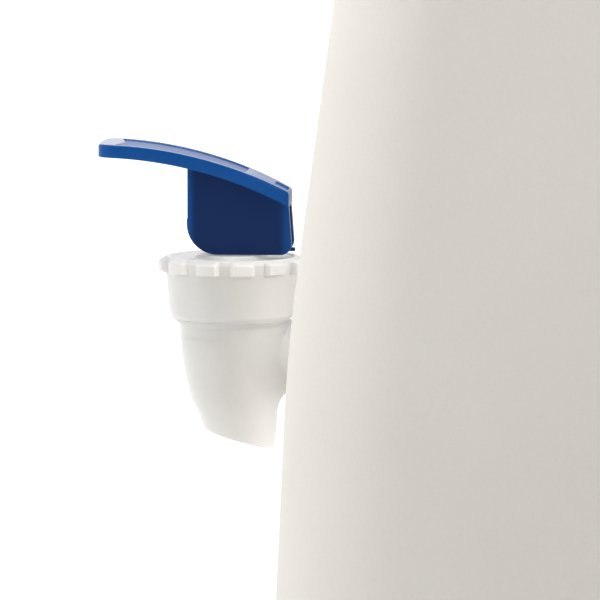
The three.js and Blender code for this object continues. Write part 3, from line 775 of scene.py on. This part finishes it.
# ---- Lever ----
def shade_and_gloss_lever(material):
    """Painted shade: the lever's translucent plastic is coloured darker in its block, under the paddle, away
    from its front and rear edges; and its dish and its rear half are less polished than the rim."""
    nodes, links = tree = tree_of(material)
    shader = nodes["Principled BSDF"]
    place = nodes.new("ShaderNodeTexCoord").outputs["Object"]
    parts = nodes.new("ShaderNodeSeparateXYZ")
    links.new(place, parts.inputs["Vector"])

    def along(start, end, low, high):
        """A ramp between two distances behind the tap's axis."""
        return ramp(tree, parts.outputs["Y"], (TAP_Y + start) * MM, (TAP_Y + end) * MM, low, high)

    def combined(operation, first, second):
        node = nodes.new("ShaderNodeMath")
        node.operation = operation
        links.new(first, node.inputs[0])
        links.new(second, node.inputs[1])
        return node.outputs["Value"]

    # The distance from the axis of the paddle's arc, across the lever's side view.
    flat = nodes.new("ShaderNodeVectorMath")
    flat.operation = "MULTIPLY"
    flat.inputs[1].default_value = (0, 1, 1)
    links.new(place, flat.inputs[0])
    arc = nodes.new("ShaderNodeVectorMath")
    arc.operation = "DISTANCE"
    arc.inputs[1].default_value = (0, (TAP_Y + PADDLE_CENTRE[0]) * MM, PADDLE_CENTRE[1] * MM)
    links.new(flat.outputs["Vector"], arc.inputs[0])
    arc = arc.outputs["Value"]

    # painted shade mask: under the paddle's arc, fading out towards the block's front and rear edges
    under = PADDLE_RADIUS - PADDLE_THICKNESS
    below = ramp(tree, arc, (under - 0.6) * MM, (under + 0.1) * MM, 1, 0)
    from_front = along(LEVER_FRONT, LEVER_FRONT + 2.6, 0.1, 1)
    from_rear = along(LEVER_REAR - 3.8, LEVER_REAR - 0.3, 1, 0.25)
    block_shade = combined("MULTIPLY", below, combined("MULTIPLY", from_front, from_rear))

    # painted shade: the block's colour is mixed towards a deep navy where the mask is set
    colour = shader.inputs["Base Color"].links[0].from_socket
    mix = nodes.new("ShaderNodeMix")
    mix.data_type = "RGBA"
    mix.inputs["B"].default_value = linear(1, 40, 92)
    links.new(block_shade, mix.inputs["Factor"])
    links.new(colour, mix.inputs["A"])
    links.new(mix.outputs["Result"], shader.inputs["Base Color"])

    gloss = shader.inputs["Roughness"].links[0].from_socket
    dish = ramp(tree, arc, (PADDLE_RADIUS - DISH_DEPTH) * MM, (PADDLE_RADIUS - 0.1) * MM, 0.2, 0)
    rear = along(0, 9, 0, 0.14)
    links.new(combined("ADD", gloss, combined("MAXIMUM", dish, rear)), shader.inputs["Roughness"])


CAM_RADIUS = 7.4
CAM_OFFSET = 4.7
LEVER_TIP = box_mm("lever")[0][1] - TAP_Y
LEVER_FRONT = -CAM_OFFSET - CAM_RADIUS
LEVER_REAR = 17.1
LEVER_REAR_TOP = 16.4
LEVER_REAR_RADIUS = 3
PADDLE_RADIUS = 115.5
PADDLE_THICKNESS = 3.6
PADDLE_CENTRE = (LEVER_TIP - 1, NUT_TOP + 31.9 - PADDLE_RADIUS)
PADDLE_HALF = 14
PADDLE_WAIST = 12.8
PADDLE_REAR_HALF = 8
DISH_DEPTH = 0.4
FRONT_CORNER = 8.6
BLOCK_HALF = 7
SLOT_HALF = 4
SLOT_ROOF = 168
PIN_RADIUS = 1.5
SOCKET_RADIUS = 1.8

shade_and_gloss_lever(LOOKS["lever_plastic"])


def bezier(a, b, c, steps):
    """Points on a quadratic curve, without the first."""
    t = np.linspace(0, 1, steps + 1)[1:, None]
    a, b, c = (np.array(p, float) for p in (a, b, c))
    return (1 - t) ** 2 * a + 2 * t * (1 - t) * b + t * t * c


def half_loop(front, front_bow, rear, inset, corner, rear_corner, side_front):
    """The right half of an outline seen from above, from the middle of its front edge to the middle
    of its rear edge: the paddle's own outline, or that of the dish inside it."""
    wide, waist, narrow = PADDLE_HALF - inset, PADDLE_WAIST - inset, PADDLE_REAR_HALF - inset
    path = [np.array([[0.0, front]])]
    turn = front + front_bow
    path.append(bezier((0, front), (wide - corner - 4, front), (wide - corner, turn), 10))
    arc = np.linspace(-math.pi / 2, 0, 9)[1:]
    path.append(np.column_stack([wide - corner + corner * np.cos(arc), turn + corner + corner * np.sin(arc)]))
    span = bezier((wide, side_front), (waist, -8), (narrow, LEVER_REAR), 60)
    span = np.vstack([[wide, side_front], span])
    y = np.linspace(turn + corner, rear - rear_corner, 27)[1:]
    side = np.column_stack([np.interp(y, span[:, 1], span[:, 0]), y])
    path.append(side)
    end = side[-1, 0]
    arc = np.linspace(0, math.pi / 2, 6)[1:]
    path.append(np.column_stack([end - rear_corner + rear_corner * np.cos(arc),
                                 rear - rear_corner + rear_corner * np.sin(arc)]))
    path.append(np.column_stack([np.linspace(end - rear_corner, 0, 6)[1:], np.full(5, rear)]))
    return np.vstack(path)


def whole_loop(half):
    """Both halves of an outline. Point i and point count - i have the same place along the paddle."""
    return np.vstack([half, (half * [-1, 1])[-2:0:-1]])


def inward(outline):
    """Unit normals that point into a closed outline."""
    along = np.roll(outline, -1, axis=0) - np.roll(outline, 1, axis=0)
    along /= np.linalg.norm(along, axis=1)[:, None]
    normal = np.column_stack([-along[:, 1], along[:, 0]])
    return normal * np.sign(np.sum(normal * (outline.mean(axis=0) - outline)))


def under_arc(plan, depth):
    """Points of a plan outline, laid under the paddle's arc at a depth."""
    rise = np.sqrt((PADDLE_RADIUS - depth) ** 2 - (plan[:, 1] - PADDLE_CENTRE[0]) ** 2)
    return loop(plan[:, 0], TAP_Y + plan[:, 1], PADDLE_CENTRE[1] + rise)


def ladder(first, count):
    """Faces across the inside of a mirrored loop."""
    faces = [(first, first + 1, first + count - 1)]
    middle = count // 2
    for i in range(1, middle - 1):
        faces.append((first + i, first + i + 1, first + count - i - 1, first + count - i))
    faces.append((first + middle - 1, first + middle, first + middle + 1))
    return faces


def side_prism(name, outline, low_x, high_x):
    """A solid pushed out across the lever from its side view: (distance behind the axis, height)."""
    rings = [np.array([(x, TAP_Y + y, z) for y, z in outline]) for x in (low_x, high_x)]
    return make(name, *skin(rings, caps=(True, True)))


def pivot_rod(name, radius, half_length, segments=48):
    """A round rod across the lever, on its pivot."""
    outline = [(radius * math.cos(a), PIVOT_HEIGHT + radius * math.sin(a)) for a in full_turn(segments)]
    return side_prism(name, outline, -half_length, half_length)


def make_paddle():
    outer = whole_loop(half_loop(LEVER_TIP, 0.35, LEVER_REAR_TOP, 0, 4.2, 0.7, LEVER_TIP + 4.5))
    dish = whole_loop(half_loop(LEVER_TIP + 6.4, -1.3, 4.4, 2.2, 0.9, 1.6, LEVER_TIP + 4.5))
    into = inward(outer)
    rim, foot = 0.6, 0.35
    quarter = np.linspace(0, math.pi / 2, 6)
    rings = [under_arc(outer + into * foot * (1 - math.sin(a)),
                       PADDLE_THICKNESS - foot * (1 - math.cos(a))) for a in quarter]
    rings += [under_arc(outer, depth) for depth in np.linspace(PADDLE_THICKNESS - foot, rim, 4)[1:-1]]
    rings += [under_arc(outer + into * rim * (1 - math.cos(a)), rim * (1 - math.sin(a))) for a in quarter]
    lip = outer + into * rim
    edge = dish + inward(dish) * -0.25
    rings += [under_arc(lip + (edge - lip) * share, 0) for share in np.linspace(0, 1, 9)[1:-1]]
    slope = [(-0.25, 0), (-0.1, 0.04), (0, 0.12), (0.08, 0.28), (0.16, 0.56), (0.24, 0.78), (0.38, 0.92),
             (0.6, 1)]
    rings += [under_arc(dish + inward(dish) * inset, share * DISH_DEPTH) for inset, share in slope]
    verts, faces = skin(rings)
    count = len(outer)
    faces += ladder(0, count) + ladder((len(rings) - 1) * count, count)
    return make("lever_handle", verts, faces)


def make_lever():
    paddle = make_paddle()
    low, front = PIVOT_HEIGHT - CAM_RADIUS, LEVER_FRONT
    cam = [(front + FRONT_CORNER * (1 + math.cos(a)), low + FRONT_CORNER * (1 + math.sin(a)))
           for a in np.linspace(math.pi, 1.5 * math.pi, 19)]
    heel = [(LEVER_REAR - LEVER_REAR_RADIUS * (1 - math.cos(a)), low + LEVER_REAR_RADIUS * (1 + math.sin(a)))
            for a in np.linspace(-math.pi / 2, 0, 9)]
    depth = PADDLE_THICKNESS / 2
    reach = [LEVER_REAR_TOP - 0.2, 8, 0, -6, front + 0.18]
    roof = [tuple(under_arc(np.array([[0, y]]), depth)[0, 1:] - [TAP_Y, 0]) for y in reach]
    step = PIVOT_HEIGHT + 2.6
    outline = cam + heel + roof + [(front + 0.18, step + 0.05), (front, step)]
    block = side_prism("tool", outline, -BLOCK_HALF, BLOCK_HALF)
    slot = [(front + 3, low - 5), (LEVER_REAR + 5, low - 5), (LEVER_REAR + 5, SLOT_ROOF),
            (front + 3, SLOT_ROOF)]
    cut(block, side_prism("tool", slot, -SLOT_HALF, SLOT_HALF))
    bevelled(block, 0.8, 30, 4)
    cut(block, pivot_rod("tool", SOCKET_RADIUS, 5.8, 32))
    joined(paddle, block)

    corner = [np.column_stack([4.2 + 0.8 * np.cos(arc), side * 1.05 + 14 + 0.8 * np.sin(arc)])
              for side, arc in ((-1, np.linspace(-math.pi / 2, 0, 6)), (1, np.linspace(0, math.pi / 2, 6)))]
    pocket = whole_loop(np.vstack([[[0, 12.15]], *corner, [[0, 15.85]]]))
    foot = pocket * [0.9, 1] + inward(pocket) * 0.3
    verts, faces = skin([under_arc(pocket, -1), under_arc(pocket, 0.05), under_arc(foot, 0.5)])
    count = len(pocket)
    cut(paddle, make("tool", verts, faces + ladder(0, count) + ladder(2 * count, count)))

    # A trace of the moulding runner at the foot of one cheek.
    nib = side_prism("tool", [(14.1, low + 0.02), (17.4, low + 0.05), (17.4, low + 1), (14.1, low + 1.2)],
                     -6.4, -4.6)
    joined(paddle, bevelled(nib, 0.12, 30, 2))
    finished(paddle, "lever", "lever_plastic", "lever", angle=30)


# ---- Small parts ----
def make_foot(corner):
    x, y = CORNERS[corner]
    top = heights("foot_" + corner)[1]
    foot = turned(
        "rubber_foot_" + corner,
        [(0, 0.9, 0), (6.2, 0.9, 0.4), (6.8, 0, 0.3), (9.6, 0, 0.6), (11, 1.5, 0.8), (11, top, 0.5),
         (0, top, 0)],
        0, 64,
    )
    move(foot, x * FOOT_OFFSET, BODY_Y + y * FOOT_OFFSET)
    finished(foot, "dispenser", "foot_rubber", "foot_" + corner)


def move(piece, x, y):
    """Moves the mesh itself, so that the piece's origin stays at the frame's."""
    piece.data.transform(Matrix.Translation((x * MM, y * MM, 0)))


def cross_recess(width, across, bottom, top):
    """The tool that cuts a cross recess: two crossed bars with sloping ends."""
    tools = []
    for turned_round in (False, True):
        outline = [(-across, bottom), (across, bottom), (across * 0.35, top), (-across * 0.35, top)]
        rings = [np.array([(side * width, y, z) for y, z in outline]) for side in (-1, 1)]
        bar = make("tool", *skin(rings, caps=(True, True)))
        if turned_round:
            bar.data.transform(Matrix.Rotation(math.pi / 2, 4, "Z"))
        tools.append(bar)
    return joined(tools[0], tools[1])


def make_screw(name, head_low, head_high, shank_top, x, y, node, body):
    """A screw with its head below: cross recess, rounded head, and a thread that ends in a point."""
    head_radius = 4
    profile = [(0, head_low, 0), (head_radius - 0.6, head_low, 0.5), (head_radius, head_low + 0.7, 0.5),
               (head_radius, head_high, 0.2), (1.75, head_high, 0.2)]
    pitch = 1.1
    for k in range(int((shank_top - head_high - 2.6) / pitch)):
        base = head_high + 0.6 + k * pitch
        profile += [(1.45, base, 0), (2, base + 0.45, 0), (2, base + 0.6, 0)]
    profile += [(1.4, shank_top - 1.4, 0), (0, shank_top, 0)]
    screw = turned(name, profile, 0, 40)
    cut(screw, cross_recess(0.42, 2.2, head_low - 0.3, head_low + 1.5))
    move(screw, x, y)
    finished(screw, body, "screw_steel", node)


def make_spring():
    """The stem's compression spring: a round wire wound on a helix, with closer end turns."""
    wire, radius, sides = 0.55, 6.0, 10
    low, high = heights("stem_spring")
    turns, steps = 5, 180
    share = np.linspace(0, 1, steps + 1)
    eased = share - 0.055 * np.sin(2 * math.pi * share)
    angle = share * turns * 2 * math.pi
    height = low + wire + (high - low - 2 * wire) * eased
    path = loop(radius * np.cos(angle), TAP_Y + radius * np.sin(angle), height)
    rings = []
    for i, point in enumerate(path):
        along = path[min(i + 1, steps)] - path[max(i - 1, 0)]
        along /= np.linalg.norm(along)
        out = np.array([math.cos(angle[i]), math.sin(angle[i]), 0])
        up = np.cross(out, along)
        up /= np.linalg.norm(up)
        side = np.cross(along, up)
        around = full_turn(sides)
        rings.append(point + wire * (np.cos(around)[:, None] * side + np.sin(around)[:, None] * up))
    spring = make("return_spring", *skin(rings, caps=(True, True)))
    finished(spring, "dispenser", "spring_steel", "stem_spring", angle=60)
    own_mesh(spring)


def make_cup():
    cup = turned(
        "valve_cup",
        [(0, 118.8, 0), (8.4, 118.8, 0.8), (8.4, 122.6, 1.2), (7.4, 126, 2), (10.2, 134, 3),
         (10.2, 145, 0.4), (14.6, 145, 0.4), (14.6, 146.7, 0.4), (9.1, 146.7, 0.5), (9.1, 134.6, 3),
         (6, 127, 1.2), (3.4, 126.2, 0.4), (3.4, 125.2, 0.4), (4.8, 124.6, 0.4), (4.8, 121.3, 0.4),
         (0, 121.3, 0)],
        TAP_Y, 72,
    )
    finished(cup, "dispenser", "silicone", "seat_cup")
    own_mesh(cup)


def make_gasket(name, node, outer):
    low, high = box_mm(node)
    start, end = low[1] - TAP_Y, high[1] - TAP_Y
    gasket = lying(name, [(8.1, start, 0.35), (outer, start, 0.5), (outer, end, 0.5), (8.1, end, 0.35)],
                   72, closed=True)
    finished(gasket, "dispenser", "silicone", node)


def make_base():
    low, column_top = heights("base_plate")
    half, high = 115, 9
    outline = rounded([(half - 2, low, 0), (half, low, 0.9), (half, high, 0.9), (half - 2, high, 0)])
    rings = [section(h, z) for h, z in outline]
    plate = make("bottom_plate", *skin(rings, caps=(True, True)))
    joined(plate, posts(12, high - 1, column_top, COLUMN_OFFSET))
    cut(plate, posts(9.5, high, BOTTLE_FLOOR + 1, COLUMN_OFFSET))
    cut(plate, posts(PILOT_RADIUS, low - 1, high + 1, SCREW_OFFSET))
    finished(plate, "dispenser", "base_plastic", "base_plate")


def make_stem():
    top = PIVOT_HEIGHT - 1
    stem = turned(
        "lift_stem",
        [(0, 121.7, 0), (3.6, 121.7, 0.6), (4.4, 122.6, 0.4), (4.4, 123.8, 0.4), (3, 125, 0.5),
         (3, 131.8, 0.4), (7.2, 131.8, 0.4), (7.2, 133.4, 0.4), (3, 133.4, 0.6), (3, top, 0), (0, top, 0)],
        TAP_Y, 48,
    )
    joined(stem, bevelled(pivot_rod("tool", EYE_RADIUS, 3.6), 0.4, 40, 3))
    cut(stem, pivot_rod("tool", SOCKET_RADIUS, 10))
    finished(stem, "stem", "tap_plastic", "valve_stem")
    pin = bevelled(pivot_rod("hinge_pin", PIN_RADIUS, 5.5), 0.25, 40, 3)
    finished(pin, "lever", "tap_plastic", "lever_pin")


def make_guide():
    low, high = heights("stem_guide")
    guide = turned(
        "guide_ring", [(3.4, low, 0.4), (14.9, low, 0.4), (14.9, high, 0.4), (3.4, high, 0.4)], TAP_Y, 72
    )
    finished(guide, "dispenser", "tap_plastic", "stem_guide")


def make_lock_nut():
    low, high = box_mm("lock_nut")
    start, end = low[1] - TAP_Y, high[1] - TAP_Y
    across = 14.5
    nut = lying("shank_nut", [(0, start, 0), (across, start, 0), (across, end, 0), (0, end, 0)], 6)
    chamfer = lying("tool", [(0, start - 1, 0), (11.2, start - 1, 0), (14.9, start + 1.3, 0),
                             (14.9, end - 1.3, 0), (11.2, end + 1, 0), (0, end + 1, 0)], 64)
    joined(nut, chamfer, "INTERSECT")
    cut(nut, rod(8.1, start - 1, end + 1))
    finished(nut, "dispenser", "tap_plastic", "lock_nut", angle=25)


# ---- Camera, stage and light, in metres ----
def direction(azimuth, elevation):
    """From the object towards a viewer. Azimuth 0 is on the tap's side, 90 is at +X."""
    a, e = math.radians(azimuth), math.radians(elevation)
    return Vector((math.sin(a) * math.cos(e), -math.cos(a) * math.cos(e), math.sin(e)))


def aimed(thing, target, towards, distance):
    """Puts a camera or a lamp at a distance from its target, facing it."""
    thing.location = target + towards * distance
    thing.rotation_mode = "QUATERNION"
    thing.rotation_quaternion = (-towards).to_track_quat("-Z", "Y")


AZIMUTH, ELEVATION = 93.6, 5.9
DISTANCE = 1.45
FIELD = 0.168  # the view's width at the tap
AIM_RIGHT, AIM_DOWN = 0.01904, 0.0125  # from the top of the collar nut to the middle of the view
SENSOR = 36
WORLD_FRONT, WORLD_BACK = 0.16, 1.15
FLOOR_GLOW, FAR_FLOOR_GLOW = 0.02, 0.6
LIT_PLACE = Vector((0, -0.05, 0.18))

back = direction(AZIMUTH, ELEVATION)
right = Vector((math.cos(math.radians(AZIMUTH)), math.sin(math.radians(AZIMUTH)), 0))
up = back.cross(right)
aim = Vector((0, TAP_Y * MM, NUT_TOP * MM)) + right * AIM_RIGHT - up * AIM_DOWN

camera_data = bpy.data.cameras.new("camera")
camera_data.sensor_width = SENSOR
camera_data.lens = SENSOR * DISTANCE / FIELD
camera_data.clip_start = 0.05
camera_data.clip_end = 60
camera = placed("camera", camera_data)
aimed(camera, aim, back, DISTANCE)
bpy.context.scene.camera = camera
bpy.context.scene.view_settings.view_transform = "Standard"


def make_stage():
    """A pale floor that glows a little where it is far from the tap's right-hand side."""
    side = 16000
    corners = [(-side, -side, -0.05), (side, -side, -0.05), (side, side, -0.05), (-side, side, -0.05)]
    floor = make("floor", corners, [(0, 1, 2, 3)])
    material = bpy.data.materials.new("floor")
    nodes, links = tree = tree_of(material)
    shader = nodes["Principled BSDF"]
    shader.inputs["Base Color"].default_value = linear(247, 247, 246)
    shader.inputs["Roughness"].default_value = 0.9
    shader.inputs["Specular IOR Level"].default_value = 0.1
    shader.inputs["Emission Color"].default_value = (1, 1, 1, 1)
    away = nodes.new("ShaderNodeVectorMath")
    away.operation = "DISTANCE"
    away.inputs[1].default_value = (1, 0, 0)
    links.new(nodes.new("ShaderNodeNewGeometry").outputs["Position"], away.inputs[0])
    glow = ramp(tree, away.outputs["Value"], 0.9, 1.5, FLOOR_GLOW, FAR_FLOOR_GLOW)
    links.new(glow, shader.inputs["Emission Strength"])
    # The floor is clear from below, so that it doesn't hide the underside.
    below = nodes.new("ShaderNodeNewGeometry").outputs["Backfacing"]
    clear = nodes.new("ShaderNodeBsdfTransparent").outputs["BSDF"]
    surface = mixed(tree, below, shader.outputs["BSDF"], clear)
    links.new(surface, nodes["Material Output"].inputs["Surface"])
    floor.data.materials.append(material)


def make_world():
    """Pale surroundings, dimmer on the +X side, and plain white where the camera sees them."""
    world = bpy.data.worlds.new("surroundings")
    bpy.context.scene.world = world
    nodes, links = tree = tree_of(world)
    nodes.clear()
    place = nodes.new("ShaderNodeTexCoord").outputs["Generated"]
    parts = nodes.new("ShaderNodeSeparateXYZ")
    links.new(place, parts.inputs["Vector"])
    lit = nodes.new("ShaderNodeBackground")
    lit.inputs["Color"].default_value = (1, 0.995, 0.985, 1)
    level = ramp(tree, parts.outputs["X"], -1, 1, WORLD_BACK, WORLD_FRONT)
    links.new(level, lit.inputs["Strength"])
    plain = nodes.new("ShaderNodeBackground")
    plain.inputs["Color"].default_value = (1, 1, 1, 1)
    plain.inputs["Strength"].default_value = 1.0
    seen = nodes.new("ShaderNodeLightPath").outputs["Is Camera Ray"]
    surface = mixed(tree, seen, lit.outputs["Background"], plain.outputs["Background"])
    links.new(surface, nodes.new("ShaderNodeOutputWorld").inputs["Surface"])


def area_light(name, azimuth, elevation, distance, size, watts, colour):
    data = bpy.data.lights.new(name, "AREA")
    data.shape = "RECTANGLE"
    data.size, data.size_y = size
    data.energy = watts
    data.color = colour
    aimed(placed(name, data), LIT_PLACE, direction(azimuth, elevation), distance)


make_stage()
make_world()
area_light("key_light", 38, 25, 1.6, (1.2, 1.0), 7.4, (0.97, 0.985, 1))
area_light("top_light", 60, 75, 1.5, (0.5, 0.5), 6.6, (1, 0.985, 0.965))

make_housing()
make_bottle()
make_collar()
make_lid()
make_tap_body()
make_nut()
make_lever()
make_stem()
make_guide()
make_spring()
make_cup()
make_gasket("outer_seal", "outer_gasket", 12.5)
make_gasket("inner_seal", "inner_gasket", 13)
make_lock_nut()
make_base()
for corner_name, (corner_x, corner_y) in CORNERS.items():
    make_foot(corner_name)
    make_screw("base_fixing_" + corner_name, 3.3, 5.7, 25, corner_x * SCREW_OFFSET,
               BODY_Y + corner_y * SCREW_OFFSET, "base_screw_" + corner_name, "dispenser")
make_screw("knob_fixing", 340.3, 342.7, 357.5, 0, BODY_Y, "knob_screw", "lid")
